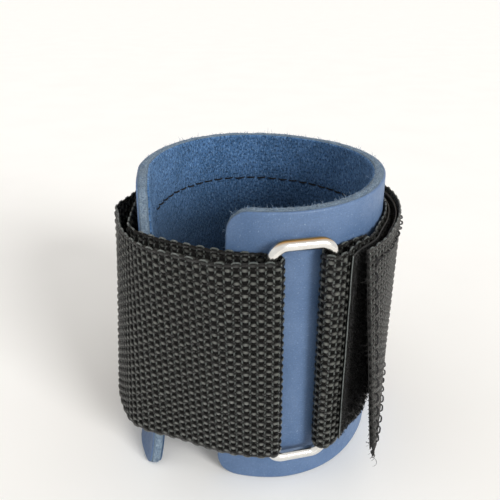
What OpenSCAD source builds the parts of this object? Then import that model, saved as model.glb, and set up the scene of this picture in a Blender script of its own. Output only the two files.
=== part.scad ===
// Leather wrist cuff with a webbing strap that is drawn through a rectangular ring
// and folds back round the cuff to a hook and loop closure.
// Millimetres, +Z up. The origin is the middle of the wrist opening, on the plane the cuff stands on.
// The leather is an oval band, and every other layer is placed by its stand-off,
// which is its distance outside the oval, at an angle round +Z from +X.
// The strap starts at the ring, at the front, and runs clockwise as seen from above.

/* [Leather cuff] */
// Height of the leather band
cuff_height = 70; // [66:1:80]
// Thickness of the leather
leather_thick = 3; // [2:0.1:3.6]
// Mean outer radius of the oval
cuff_radius = 31.7; // [31:0.1:36]
// How much longer the oval is than it is wide, as a change of radius
oval_stretch = 1.55; // [0:0.05:1.8]
// Radius of the rounded corners at the two ends of the leather
corner_radius = 5; // [2:0.5:7]

/* [Webbing] */
// Width of the webbing
webbing_width = 50; // [40:1:50]
// Thickness of the webbing
webbing_thick = 1.2; // [0.9:0.05:1.2]
// Height of the webbing's lower edge above the base plane
webbing_base = 11.7; // [10:0.1:14]

/* [Ring] */
// Diameter of the ring's wire
wire_d = 2.5; // [2:0.1:2.5]
// Gap between the ring's two long legs
ring_opening = 10; // [9:0.5:10.5]
// Bend radius of the ring's corners, to the middle of the wire
ring_bend = 3; // [2.5:0.1:3.2]
// Play between the ring's wire and the webbing folded round it
ring_play = 0.35; // [0.3:0.05:0.4]

/* [Hook and loop tape] */
// Thickness of the loop tape
loop_thick = 0.8; // [0.5:0.05:0.8]
// Thickness of the hook tape
hook_thick = 0.6; // [0.4:0.05:0.6]
// Width of both tapes
tape_width = 48; // [40:1:48]

/* [Stitching] */
// Length of one stitch
stitch_length = 2.7; // [2:0.1:3]
// Distance from stitch to stitch
stitch_pitch = 3.4; // [3.2:0.1:5]
// Thickness of the thread
thread = 0.45; // [0.3:0.05:0.5]
// Distance of the cuff's two stitch rows from the webbing's edges
row_inset = 4.7; // [3:0.1:8]

/* [Hidden] */

$fn = 48;
seam_gap = 0.05;                // between layers that are sewn together
joint_gap = 0.3;                // between two lengths of strap that meet at a joint
skin_gap = 0.15;                // between the leather and the strap on it
step = 3;                       // degrees between the points of a curve
webbing_top = webbing_base + webbing_width;
tape_base = webbing_base + (webbing_width - tape_width) / 2;

// Angles round the cuff, in degrees
front_end_angle = -118;         // beyond the leather's front end, which is trimmed to its slant
wing_angle = -178;              // where the free left end of the leather bends
left_leg_angle = -86;           // the ring's left leg
tab_tail_angle = -46;           // where the tail of the ring's tab ends
tape_end_angle = -61;           // the loop tape's cut end, beside the ring
tape_start_angle = 42;          // the loop tape's other end, at the right rear
peel_angle = 20;                // where the flap starts to peel off the wrap
tip_angle = -23;                // where the flap's last stretch bends
flap_end_angle = -57;           // the flap's cut free end
hook_start_angle = 14;          // the hook tape's hidden end
stitch_start_angle = 12;        // the right end of the two rows that hold strap and leather
stitch_end_angle = 171;         // the left end of those rows
turn = 360;

// The ring's legs lie on the strap's inner layer, and its outer layer lies on them.
leg_stand_off = skin_gap + webbing_thick + ring_play + wire_d / 2;
fold_out = leg_stand_off + wire_d / 2 + ring_play;

// Stand-off of the strap's inner face: [angle, at its lower edge, at its upper edge].
inner_route = [
    [-86, 0.15, 0.15], [-104, 0.15, 0.15], [-110, 0.5, 0.3], [-118, 1.5, 0.7], [-126, 3.4, 1.4],
    [-133, 5.8, 2.4], [-140, 7, 3.5], [-146, 4.7, 4], [-152, 2.8, 2.7], [-158, 1.5, 1.5],
    [-165, 0.7, 0.7], [-173, 0.2, 0.2], [-180, 0.15, 0.15], [-394, 0.15, 0.15], [-400, 0.7, 0.7],
    [-405, 1.5, 1.5], [-413, 1.5, 1.5], [-417, 2, 2], [-422, 3.7, 3.7], [-425, fold_out, fold_out],
    [-430, fold_out, fold_out]
];
outer_route = [
    [-80, fold_out, fold_out], [-89, fold_out, fold_out], [-95, 4.5, 5.2], [-101, 4.6, 6.2],
    [-111, 4.7, 5.8],
    [-118, 5, 6], [-125, 6.3, 6.7], [-132, 8.6, 6.8], [-139, 10, 6.2], [-146, 9.6, 5.6],
    [-160, 8.9, 4.2], [-169, 6.6, 5], [-176, 4.4, 3.3], [-183, 2.4, 2], [-190, 1.8, 1.8],
    [-270, 1.8, 1.8], [-300, 2.3, 2.3], [-318, 3.2, 3.2], [-350, 3.5, 3.5], [-386, 3.5, 3.5],
    [-395, 5, 3.7], [-400, 6, 4.2], [-404, 7, 4.7], [-410, 9.2, 4.9], [-417, 12.4, 5.7],
    [-421, 14.4, 6]
];

// ---- The oval and the layers on it ----

function oval_radius(a) =
    cuff_radius - oval_stretch * cos(2 * (a - 12.8)) + 0.37 * cos(4 * (a - 22.5)) + 0.22 * cos(3 * a);

function oval_point(a) = oval_radius(a) * [cos(a), sin(a)];

function oval_normal(a) =
    let (d = oval_point(a + 0.5) - oval_point(a - 0.5))
    [d.y, -d.x] / norm(d);

function stand_off(a, s) = oval_point(a) + s * oval_normal(a);

function column(route, c) = [for (row = route) [row[0], row[c]]];

function smooth_lookup(a, table) =
    (lookup(a - 2, table) + lookup(a, table) + lookup(a + 2, table)) / 3;

function angles(a0, a1) =
    let (n = ceil(abs(a1 - a0) / step))
    [for (i = [0:n]) a0 + (a1 - a0) * i / n];

function reverse(list) = [for (i = [len(list) - 1:-1:0]) list[i]];

// A layer of even stand-off between two angles, as a vertical wall.
module wall(a0, a1, s_in, s_out, z0, height) {
    run = angles(a0, a1);
    outline = concat(
        [for (a = run) stand_off(a, s_out)],
        reverse([for (a = run) stand_off(a, s_in)])
    );
    translate([0, 0, z0])
        linear_extrude(height)
            polygon(outline);
}

// A layer that follows a route, lift outside it, as a ruled wall from z0 to z1.
module ribbon(route, a0, a1, lift, thick, z0, z1) {
    run = angles(a0, a1);
    low = column(route, 1);
    high = column(route, 2);
    rings = [
        for (a = run)
            let (
                lo = smooth_lookup(a, low),
                hi = smooth_lookup(a, high),
                share0 = (z0 - webbing_base) / webbing_width,
                share1 = (z1 - webbing_base) / webbing_width,
                s0 = lo + (hi - lo) * share0 + lift,
                s1 = lo + (hi - lo) * share1 + lift,
                p = stand_off(a, s0),
                q = stand_off(a, s0 + thick),
                r = stand_off(a, s1 + thick),
                t = stand_off(a, s1)
            )
            [[p.x, p.y, z0], [q.x, q.y, z0], [r.x, r.y, z1], [t.x, t.y, z1]]
    ];
    count = len(run);
    points = [for (ring = rings, p = ring) p];
    sides = [
        for (i = [0:count - 2], k = [0:3], half = [0:1])
            let (here = 4 * i, there = 4 * (i + 1), next = (k + 1) % 4)
            half == 0 ? [here + k, there + k, there + next] : [here + k, there + next, here + next]
    ];
    end = 4 * (count - 1);
    caps = [[0, 1, 2], [0, 2, 3], [end + 2, end + 1, end], [end + 3, end + 2, end]];
    polyhedron(points, concat(sides, caps), convexity = 8);
}

// The points of a corner at p, rounded to radius r, between its neighbours before and after.
function rounded(before, p, after, r) =
    let (
        u = (before - p) / norm(before - p),
        v = (after - p) / norm(after - p),
        half = acos(u * v) / 2,
        mid = (u + v) / norm(u + v),
        centre = p + mid * r / sin(half),
        from = p + u * r / tan(half) - centre,
        to = p + v * r / tan(half) - centre,
        a0 = atan2(from.y, from.x),
        sweep = (atan2(to.y, to.x) - a0 + 540) % 360 - 180
    )
    [for (i = [0:8]) centre + r * [cos(a0 + sweep * i / 8), sin(a0 + sweep * i / 8)]];

// The side view of a leather end: x0 is inside the leather, x_low and x_high are the slanted end.
function end_profile(x0, x_low, x_high) = concat(
    [[x0, cuff_height]],
    rounded([x0, cuff_height], [x_high, cuff_height], [x_low, 0], corner_radius),
    rounded([x_high, cuff_height], [x_low, 0], [x0, 0], corner_radius),
    [[x0, 0]]
);

// ---- Leather ----

front_end_low = -10.9;          // x of the leather's front end at its lower corner
front_end_high = -6.9;          // x of the leather's front end at its upper corner

module leather_cuff() {
    color("#54688f")
        difference() {
            wall(front_end_angle, wing_angle + turn, -leather_thick, 0, 0, cuff_height);
            difference() {
                translate([-40, -50, -1])
                    cube([50, 40, cuff_height + 2]);
                rotate([90, 0, 0])
                    linear_extrude(60)
                        polygon(end_profile(12, front_end_low, front_end_high));
            }
        }
}

// The free left end of the band stands straighter than the oval and is cut on a slant.
wing_root = oval_point(wing_angle) + [0, -joint_gap];
wing_length = 24.6;
wing_low = -26.8;               // y of the wing's lower corner
wing_high = -14.2;              // y of the wing's upper corner
wing_lean = 0.09;               // inward run of the wing for each millimetre forward

module leather_wing() {
    lean = [wing_lean * wing_length, -wing_length - 2];
    inward = [leather_thick, 0];
    color("#54688f")
        intersection() {
            linear_extrude(cuff_height)
                polygon([wing_root, wing_root + inward, wing_root + inward + lean, wing_root + lean]);
            translate([-45, 0, 0])
                rotate([90, 0, 90])
                    linear_extrude(30)
                        polygon(end_profile(5, wing_low, wing_high));
        }
}

// ---- Ring and the webbing folded round it ----

leg_spacing = ring_opening + wire_d;
right_leg_angle = left_leg_angle + 2 * asin(leg_spacing / 2 / (oval_radius(-76) + leg_stand_off));
left_leg = stand_off(left_leg_angle, leg_stand_off);
right_leg = stand_off(right_leg_angle, leg_stand_off);
ring_width = norm(right_leg - left_leg);
ring_yaw = atan2(right_leg.y - left_leg.y, right_leg.x - left_leg.x);
ring_clear = 1;                 // between the webbing's edges and the ring's short bars
ring_height = webbing_width + 2 * ring_clear + wire_d;
ring_base = webbing_base - ring_clear - wire_d / 2;

module ring_corner(turned) {
    rotate([0, 0, turned])
        rotate_extrude(angle = 90)
            translate([ring_bend, 0])
                circle(d = wire_d);
}

module ring_bar(from, along, length) {
    translate(from)
        rotate(along)
            cylinder(d = wire_d, h = length);
}

module rectangular_ring() {
    right = ring_width - ring_bend;
    up = ring_height - ring_bend;
    color("#d8d6d0")
        translate([left_leg.x, left_leg.y, ring_base])
            rotate([0, 0, ring_yaw])
                rotate([90, 0, 0]) {
                    translate([ring_bend, ring_bend]) ring_corner(180);
                    translate([right, ring_bend]) ring_corner(270);
                    translate([right, up]) ring_corner(0);
                    translate([ring_bend, up]) ring_corner(90);
                    ring_bar([ring_bend, 0, 0], [0, 90, 0], right - ring_bend);
                    ring_bar([ring_bend, ring_height, 0], [0, 90, 0], right - ring_bend);
                    ring_bar([0, ring_bend, 0], [-90, 0, 0], up - ring_bend);
                    ring_bar([ring_width, ring_bend, 0], [-90, 0, 0], up - ring_bend);
                }
}

// Half a turn of webbing round a leg; from is the angle at which it starts.
module fold_round(leg, from) {
    translate([leg.x, leg.y, webbing_base])
        rotate([0, 0, from])
            rotate_extrude(angle = 180)
                translate([wire_d / 2 + ring_play, 0])
                    square([webbing_thick, webbing_width]);
}

tail_start = 0.1;               // degrees from the leg to the start of the tab's flat tail

function normal_angle(a) = atan2(oval_normal(a).y, oval_normal(a).x);

module left_fold() {
    color("#2b2a27")
        fold_round(left_leg, normal_angle(left_leg_angle));
}

// The fold round the ring's right leg, and its tail between the leather and the strap.
module ring_tab() {
    color("#2b2a27") {
        fold_round(right_leg, normal_angle(right_leg_angle) + 180);
        wall(right_leg_angle + tail_start, tab_tail_angle, skin_gap, skin_gap + webbing_thick,
            webbing_base, webbing_width);
    }
}

// ---- Strap ----

// From the ring's left leg, round the left, back and right, to the ring's right leg.
module inner_strap() {
    color("#2b2a27")
        ribbon(inner_route, left_leg_angle, right_leg_angle - turn, 0, webbing_thick,
            webbing_base, webbing_top);
}

// From the ring's left leg, round the left and back, to where the flap starts.
module outer_strap() {
    color("#32312d")
        ribbon(outer_route, left_leg_angle, peel_angle - turn, 0, webbing_thick,
            webbing_base, webbing_top);
}

gap_angle = joint_gap / cuff_radius * 57.3;

module flap_side() {
    color("#38362f")
        ribbon(outer_route, peel_angle - turn - gap_angle, tip_angle - turn, 0, webbing_thick,
            webbing_base, webbing_top);
}

module flap_tip() {
    color("#3d3b33")
        ribbon(outer_route, tip_angle - turn - gap_angle, flap_end_angle - turn, 0, webbing_thick,
            webbing_base, webbing_top);
}

// ---- Hook and loop tape ----

module loop_tape() {
    color("#161616")
        ribbon(inner_route, tape_start_angle - turn, tape_end_angle - turn,
            webbing_thick + seam_gap, loop_thick, tape_base, tape_base + tape_width);
}

module hook_length(a0, a1) {
    color("#1d1d1c")
        ribbon(outer_route, a0 - turn, a1 - turn, -seam_gap - hook_thick, hook_thick,
            tape_base, tape_base + tape_width);
}

module hook_tape_side() {
    hook_length(hook_start_angle, tip_angle);
}

module hook_tape_tip() {
    hook_length(tip_angle - gap_angle, flap_end_angle + gap_angle);
}

// ---- Stitches ----

// One stitch centred at p, at height z, on a face that looks along normal.
module stitch(p, normal, z, upright = false) {
    size = upright ? [thread, thread, stitch_length] : [thread, stitch_length, thread];
    translate([p.x, p.y, z])
        rotate([0, 0, atan2(normal.y, normal.x)])
            cube(size, center = true);
}

function stitch_angles(a0, a1) =
    let (n = floor(abs(a1 - a0) / 57.3 * cuff_radius / stitch_pitch))
    [for (i = [0:n]) a0 + (a1 - a0) * i / n];

thread_lift = 3 * seam_gap + thread / 2;    // from a face to the middle of a stitch on it

module cuff_stitches(z) {
    color("#121212")
        for (a = stitch_angles(stitch_start_angle, stitch_end_angle))
            stitch(stand_off(a, -leather_thick - thread_lift), oval_normal(a), z);
}

module cuff_stitches_top() {
    cuff_stitches(webbing_top - row_inset);
}

module cuff_stitches_bottom() {
    cuff_stitches(webbing_base + row_inset);
}

// A point of the face that lies thick outside a route's inner face.
function face_point(route, a, z, thick) =
    let (
        share = (z - webbing_base) / webbing_width,
        low = smooth_lookup(a, column(route, 1)),
        high = smooth_lookup(a, column(route, 2))
    )
    stand_off(a, low + (high - low) * share + thick);

// One stitch on that face.
module face_stitch(route, a, z, thick, upright = false) {
    run = face_point(route, a + 1, z, thick) - face_point(route, a - 1, z, thick);
    normal = [run.y, -run.x] / norm(run);
    stitch(face_point(route, a, z, thick) + thread_lift * normal, normal, z, upright);
}

tape_row_inset = 2;             // from a tape's edge to its stitches

// An upright row across a tape at the angle a.
module upright_row(route, thick, a) {
    height = tape_width - 2 * tape_row_inset;
    count = floor(height / stitch_pitch);
    for (i = [0:count])
        face_stitch(route, a, tape_base + tape_row_inset + i * height / count, thick, upright = true);
}

// Rows along both edges of a tape between two angles.
module edge_rows(route, thick, a0, a1) {
    for (z = [tape_base + tape_row_inset, tape_base + tape_width - tape_row_inset],
         a = stitch_angles(a0, a1))
        face_stitch(route, a, z, thick);
}

loop_face = webbing_thick + seam_gap + loop_thick;
end_inset = 2.5;                // degrees from a tape's end to the row across it
edge_start = 6;                 // degrees from a tape's end to the first stitch of an edge row

// Both ends of the loop tape, and its edges where no hook tape lies on it.
module loop_tape_stitches() {
    color("#0d0d0d") {
        upright_row(inner_route, loop_face, tape_end_angle - turn + end_inset);
        upright_row(inner_route, loop_face, tape_start_angle - turn - end_inset);
        edge_rows(inner_route, loop_face, hook_start_angle - turn + end_inset,
            tape_start_angle - turn - edge_start);
    }
}

module hook_stitches_side() {
    color("#1a1a1a") {
        upright_row(outer_route, webbing_thick, hook_start_angle - turn - end_inset);
        edge_rows(outer_route, webbing_thick, tip_angle - turn + edge_start,
            hook_start_angle - turn - edge_start);
    }
}

module hook_stitches_tip() {
    color("#1a1a1a") {
        upright_row(outer_route, webbing_thick, flap_end_angle - turn + end_inset);
        edge_rows(outer_route, webbing_thick, flap_end_angle - turn + edge_start,
            tip_angle - turn - edge_start);
    }
}

leather_cuff();
leather_wing();
inner_strap();
left_fold();
outer_strap();
ring_tab();
rectangular_ring();
loop_tape();
flap_side();
flap_tip();
hook_tape_side();
hook_tape_tip();
cuff_stitches_top();
cuff_stitches_bottom();
loop_tape_stitches();
hook_stitches_side();
hook_stitches_tip();
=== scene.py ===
import math
import bpy
import numpy as np
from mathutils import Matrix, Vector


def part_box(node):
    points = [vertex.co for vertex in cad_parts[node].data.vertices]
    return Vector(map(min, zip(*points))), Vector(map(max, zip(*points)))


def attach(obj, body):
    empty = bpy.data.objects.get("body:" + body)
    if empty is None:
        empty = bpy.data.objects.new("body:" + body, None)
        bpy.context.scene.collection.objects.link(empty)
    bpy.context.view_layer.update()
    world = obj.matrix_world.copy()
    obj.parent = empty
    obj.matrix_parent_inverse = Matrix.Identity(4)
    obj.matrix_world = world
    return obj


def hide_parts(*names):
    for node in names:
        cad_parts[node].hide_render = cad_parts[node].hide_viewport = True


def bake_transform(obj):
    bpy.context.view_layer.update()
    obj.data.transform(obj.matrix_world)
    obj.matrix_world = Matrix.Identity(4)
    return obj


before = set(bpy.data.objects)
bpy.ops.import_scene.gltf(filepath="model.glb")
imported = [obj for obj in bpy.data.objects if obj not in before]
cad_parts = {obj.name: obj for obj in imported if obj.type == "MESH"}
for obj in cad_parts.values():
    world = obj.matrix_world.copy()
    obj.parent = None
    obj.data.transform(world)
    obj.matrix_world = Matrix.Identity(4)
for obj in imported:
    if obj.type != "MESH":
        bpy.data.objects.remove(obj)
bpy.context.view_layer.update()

# ---- Sizes. Lengths are in millimetres and angles in degrees, as in the CAD; MM turns them into metres.

MM = 0.001


def cad_range(node, axis):
    """Lowest and highest coordinate of a CAD node along an axis, in millimetres."""
    low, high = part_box(node)
    return low[axis] / MM, high[axis] / MM


CUFF_HEIGHT = cad_range("leather_cuff", 2)[1]
STRAP_LOW, STRAP_HIGH = cad_range("outer_strap", 2)
STRAP_WIDTH = STRAP_HIGH - STRAP_LOW
TAPE_LOW, TAPE_HIGH = cad_range("loop_tape", 2)

LEATHER_THICK = 3.0
CUFF_RADIUS = 31.7
OVAL_STRETCH = 1.55  # how far the oval departs from a circle
OVAL_TURN = 12.8
OVAL_SQUARE = 0.37  # a smaller departure, four times round
SQUARE_TURN = 22.5
OVAL_TAPER = 0.22  # and one three times round
CORNER_RADIUS = 5.0
WEBBING_THICK = 1.2
WIRE = 2.5
RING_PLAY = 0.35
SKIN_GAP = 0.15
SEAM_GAP = 0.05
STITCH_LENGTH = 2.9
STITCH_PITCH = 3.4
THREAD = 0.5
ROW_INSET = 4.7
TURN = 360
DEGREES = 57.3  # in a radian

LEFT_LEG_ANGLE = -86
RIGHT_LEG_ANGLE = -66.2
TAB_TAIL_ANGLE = -46
TAPE_END_ANGLE = -61
TAPE_START_ANGLE = 42
PEEL_ANGLE = 20
TIP_ANGLE = -23
FLAP_END_ANGLE = -57
HOOK_START_ANGLE = 14
STITCH_START_ANGLE = 12
STITCH_END_ANGLE = 171

LEG_STAND_OFF = SKIN_GAP + WEBBING_THICK + RING_PLAY + WIRE / 2
FOLD_OUT = LEG_STAND_OFF + WIRE / 2 + RING_PLAY
FOLD_RADIUS = WIRE / 2 + RING_PLAY + WEBBING_THICK / 2

# Stand-off of the strap's inner face: angle, at its lower edge, at its upper edge.
INNER_ROUTE = [
    (-86, .15, .15), (-104, .15, .15), (-110, .5, .3), (-118, 1.5, .7), (-126, 3.4, 1.4),
    (-133, 5.8, 2.4), (-140, 7, 3.5), (-146, 4.7, 4), (-152, 2.8, 2.7), (-158, 1.5, 1.5),
    (-165, .7, .7), (-173, .2, .2), (-180, .15, .15), (-394, .15, .15), (-400, .7, .7),
    (-405, 1.5, 1.5), (-413, 1.5, 1.5), (-417, 2, 2), (-422, 3.7, 3.7), (-425, FOLD_OUT, FOLD_OUT),
    (-430, FOLD_OUT, FOLD_OUT),
]
OUTER_ROUTE = [
    (-80, FOLD_OUT, FOLD_OUT), (-89, FOLD_OUT, FOLD_OUT), (-95, 4.5, 5.2), (-101, 4.6, 6.2),
    (-111, 4.7, 5.8), (-118, 5, 6), (-125, 6.3, 6.7), (-132, 8.6, 6.8), (-139, 10, 6.2),
    (-146, 9.6, 5.6), (-160, 8.9, 4.2), (-169, 6.6, 5), (-176, 4.4, 3.3), (-183, 2.4, 2),
    (-190, 1.8, 1.8), (-270, 1.8, 1.8), (-300, 2.3, 2.3), (-318, 3.2, 3.2), (-350, 3.5, 3.5),
    (-386, 3.5, 3.5), (-395, 5, 3.7), (-400, 6, 4.2), (-404, 7, 4.7), (-410, 9.2, 4.9),
    (-417, 12.4, 5.7), (-421, 14.4, 6),
]

# ---- The oval, and strips that follow it


def cosine(a):
    return np.cos(np.radians(a))


def unit(v):
    return v / np.linalg.norm(v, axis=-1, keepdims=True)


def oval_point(a):
    a = np.asarray(a, float)
    radius = (CUFF_RADIUS - OVAL_STRETCH * cosine(2 * (a - OVAL_TURN))
              + OVAL_SQUARE * cosine(4 * (a - SQUARE_TURN)) + OVAL_TAPER * cosine(3 * a))
    return radius[..., None] * np.stack([cosine(a), cosine(a - 90)], -1)


def oval_normal(a):
    a = np.asarray(a, float)
    run = oval_point(a + 0.5) - oval_point(a - 0.5)
    return unit(np.stack([run[..., 1], -run[..., 0]], -1))


def stand_off(a, s):
    return oval_point(a) + np.asarray(s)[..., None] * oval_normal(a)


def route_height(route, column, a):
    """A route's stand-off at the angles a, its corners rounded off."""
    knots = sorted(route)
    xs = [k[0] for k in knots]
    ys = [k[column] for k in knots]
    return np.mean([np.interp(a + shift, xs, ys) for shift in (-3, -2, -1, 0, 1, 2, 3)], axis=0)


class Strip:
    """A ruled band between a lower and an upper edge line, measured by the distance u along it."""

    SPACING = 0.1

    def __init__(self, low, high, z_low, z_high):
        middle = (low + high) / 2
        run = np.r_[0, np.cumsum(np.linalg.norm(np.diff(middle, axis=0), axis=1))]
        self.length = run[-1]
        self.knots = run
        self.u = np.linspace(0, run[-1], int(run[-1] / self.SPACING))
        self.edges = [
            np.stack([np.interp(self.u, run, edge[:, k]) for k in (0, 1)], -1) for edge in (low, high)
        ]
        self.slopes = [np.gradient(edge, self.u, axis=0) for edge in self.edges]
        self.z = (z_low, z_high)

    def smoothed(self, window):
        """Rounds the kinks where stretches of the band meet."""
        count = int(window / self.SPACING)
        kernel = np.hanning(count + 2)[1:-1]
        kernel /= kernel.sum()
        for n, edge in enumerate(self.edges):
            padded = np.pad(edge, ((count, count), (0, 0)), mode="reflect", reflect_type="odd")
            edge = np.stack([np.convolve(padded[:, k], kernel, "same") for k in (0, 1)], -1)
            self.edges[n] = edge[count:-count]
        self.slopes = [np.gradient(edge, self.u, axis=0) for edge in self.edges]
        return self

    def at(self, u, z, height=0.0):
        """The points at distance u, level z and height above the band, and the unit normals there."""
        u, z = np.broadcast_arrays(np.asarray(u, float), np.asarray(z, float))
        share = ((z - self.z[0]) / (self.z[1] - self.z[0]))[..., None]

        def read(pair):
            low, high = [np.stack([np.interp(u, self.u, e[:, k]) for k in (0, 1)], -1) for e in pair]
            return low + (high - low) * share

        tangent = unit(read(self.slopes))
        normal = np.stack([-tangent[..., 1], tangent[..., 0]], -1)
        spot = read(self.edges) + np.asarray(height)[..., None] * normal
        return np.concatenate([spot, z[..., None]], -1), np.concatenate([normal, 0 * z[..., None]], -1)


def arc(centre, radius, start, sweep, count=40):
    """Points on an arc round centre from the angle start."""
    a = start + np.linspace(0, sweep, count)
    return centre + radius * np.stack([cosine(a), cosine(a - 90)], -1)


def normal_angle(a):
    n = oval_normal(a)
    return math.degrees(math.atan2(n[1], n[0]))


# ---- Mesh making


def make_piece(name, points, quads, material, uv=None, material_index=None, crest=None):
    """A smooth mesh from points in millimetres and quads. A list of materials goes with material_index.
    crest says for each point how far it stands out, for a painted highlight on a yarn's crests."""
    mesh = bpy.data.meshes.new(name)
    points = np.asarray(points, float).reshape(-1, 3)
    quads = np.asarray(quads, np.int64).reshape(-1, 4)
    mesh.vertices.add(len(points))
    mesh.vertices.foreach_set("co", (points * MM).ravel())
    mesh.loops.add(quads.size)
    mesh.loops.foreach_set("vertex_index", quads.ravel())
    mesh.polygons.add(len(quads))
    mesh.polygons.foreach_set("loop_start", np.arange(len(quads)) * 4)
    mesh.polygons.foreach_set("use_smooth", np.ones(len(quads), bool))
    for one in material if isinstance(material, list) else [material]:
        mesh.materials.append(one)
    if material_index is not None:
        mesh.polygons.foreach_set("material_index", np.asarray(material_index, np.int32))
    if uv is not None:
        layer = mesh.uv_layers.new(name="surface")
        layer.data.foreach_set("uv", np.asarray(uv, float).reshape(-1, 2)[quads.ravel()].ravel())
    if crest is not None:
        layer = mesh.attributes.new("crest", "FLOAT", "POINT")
        layer.data.foreach_set("value", np.asarray(crest, np.float32).ravel())
    mesh.update(calc_edges=True)
    piece = bpy.data.objects.new(name, mesh)
    bpy.context.scene.collection.objects.link(piece)
    return piece


def tube_quads(tubes, rings, sides, closed=True):
    """Quads of many equal tubes, with points numbered tube by tube and ring by ring. closed caps the ends."""
    ring = np.arange(rings - 1)[:, None] * sides
    side = np.arange(sides)[None, :]
    following = (side + 1) % sides
    corners = [ring + side, ring + following, ring + sides + following, ring + sides + side]
    one = np.stack(corners, -1).reshape(-1, 4)
    if closed:
        fan = np.array([[0, i + 3, i + 2, i + 1] for i in range(0, sides - 2, 2)])
        last = (rings - 1) * sides
        one = np.concatenate([one, fan, last + fan[:, ::-1]])
    start = np.arange(tubes)[:, None, None] * rings * sides
    return (start + one[None]).reshape(-1, 4)


def tube_points(centre, side_a, side_b, sides):
    """Rings round centre (..., 3), on the half axes side_a and side_b (..., 3)."""
    turn = 2 * np.pi * np.arange(sides) / sides
    points = centre[..., None, :] + np.cos(turn)[:, None] * side_a[..., None, :]
    return points + np.sin(turn)[:, None] * side_b[..., None, :]


def thin_tubes(paths, radius, sides, taper=None):
    """Points of thin round tubes along paths (tubes, rings, 3). taper scales the radius of each ring."""
    tangent = unit(np.gradient(paths, axis=1))
    hint = np.where(np.abs(tangent[..., 2:3]) < 0.8, [[0, 0, 1.0]], [[1.0, 0, 0]])
    side_a = unit(np.cross(tangent, hint))
    side_b = np.cross(tangent, side_a)
    size = np.broadcast_to(np.asarray(radius, float), paths.shape[:1])[:, None, None]
    size = size * (np.ones(paths.shape[1]) if taper is None else np.asarray(taper))[None, :, None]
    return tube_points(paths, side_a * size, side_b * size, sides)


def tubes_piece(name, points, material, closed=True, uv=None):
    """One piece of many equal tubes, from their points (tubes, rings, sides, 3)."""
    tubes, rings, sides = points.shape[:3]
    return make_piece(name, points, tube_quads(tubes, rings, sides, closed), material, uv)


def tube_map(points, along):
    """The map of tubes: x runs round a tube from 0 to 1, and y is the distance along it."""
    around = np.broadcast_to(np.arange(points.shape[-2]) / points.shape[-2], points.shape[:-1])
    return np.stack([around, np.broadcast_to(along[..., None], points.shape[:-1])], -1)


def ring_to_ring(near, far):
    """Quads between two closed rings of point numbers."""
    return np.stack([near, far, np.roll(far, -1), np.roll(near, -1)], -1)


def value_noise(points, scale, seed):
    """Smooth random values from -1 to 1 at points (..., 2 or 3), with features about scale wide."""
    cell = np.asarray(points, float) / scale
    base = np.floor(cell).astype(np.int64)
    part = cell - base
    part = part * part * (3 - 2 * part)
    total = 0.0
    dims = cell.shape[-1]
    for corner in range(2 ** dims):
        bits = [(corner >> k) & 1 for k in range(dims)]
        mixed = np.full(cell.shape[:-1], seed * 7919 + 13, np.int64)
        weight = 1.0
        for k, bit in enumerate(bits):
            mixed = (mixed ^ ((base[..., k] + bit) * (73856093, 19349663, 83492791)[k])) & 0xFFFFFFF
            weight = weight * (part[..., k] if bit else 1 - part[..., k])
        mixed = (mixed * 1103515245 + 12345) & 0x7FFFFFFF
        mixed = (mixed ^ (mixed >> 13)) * 69069 & 0x7FFFFFFF
        total = total + weight * (mixed / 0x3FFFFFFF - 1)
    return total


# ---- Materials


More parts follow.
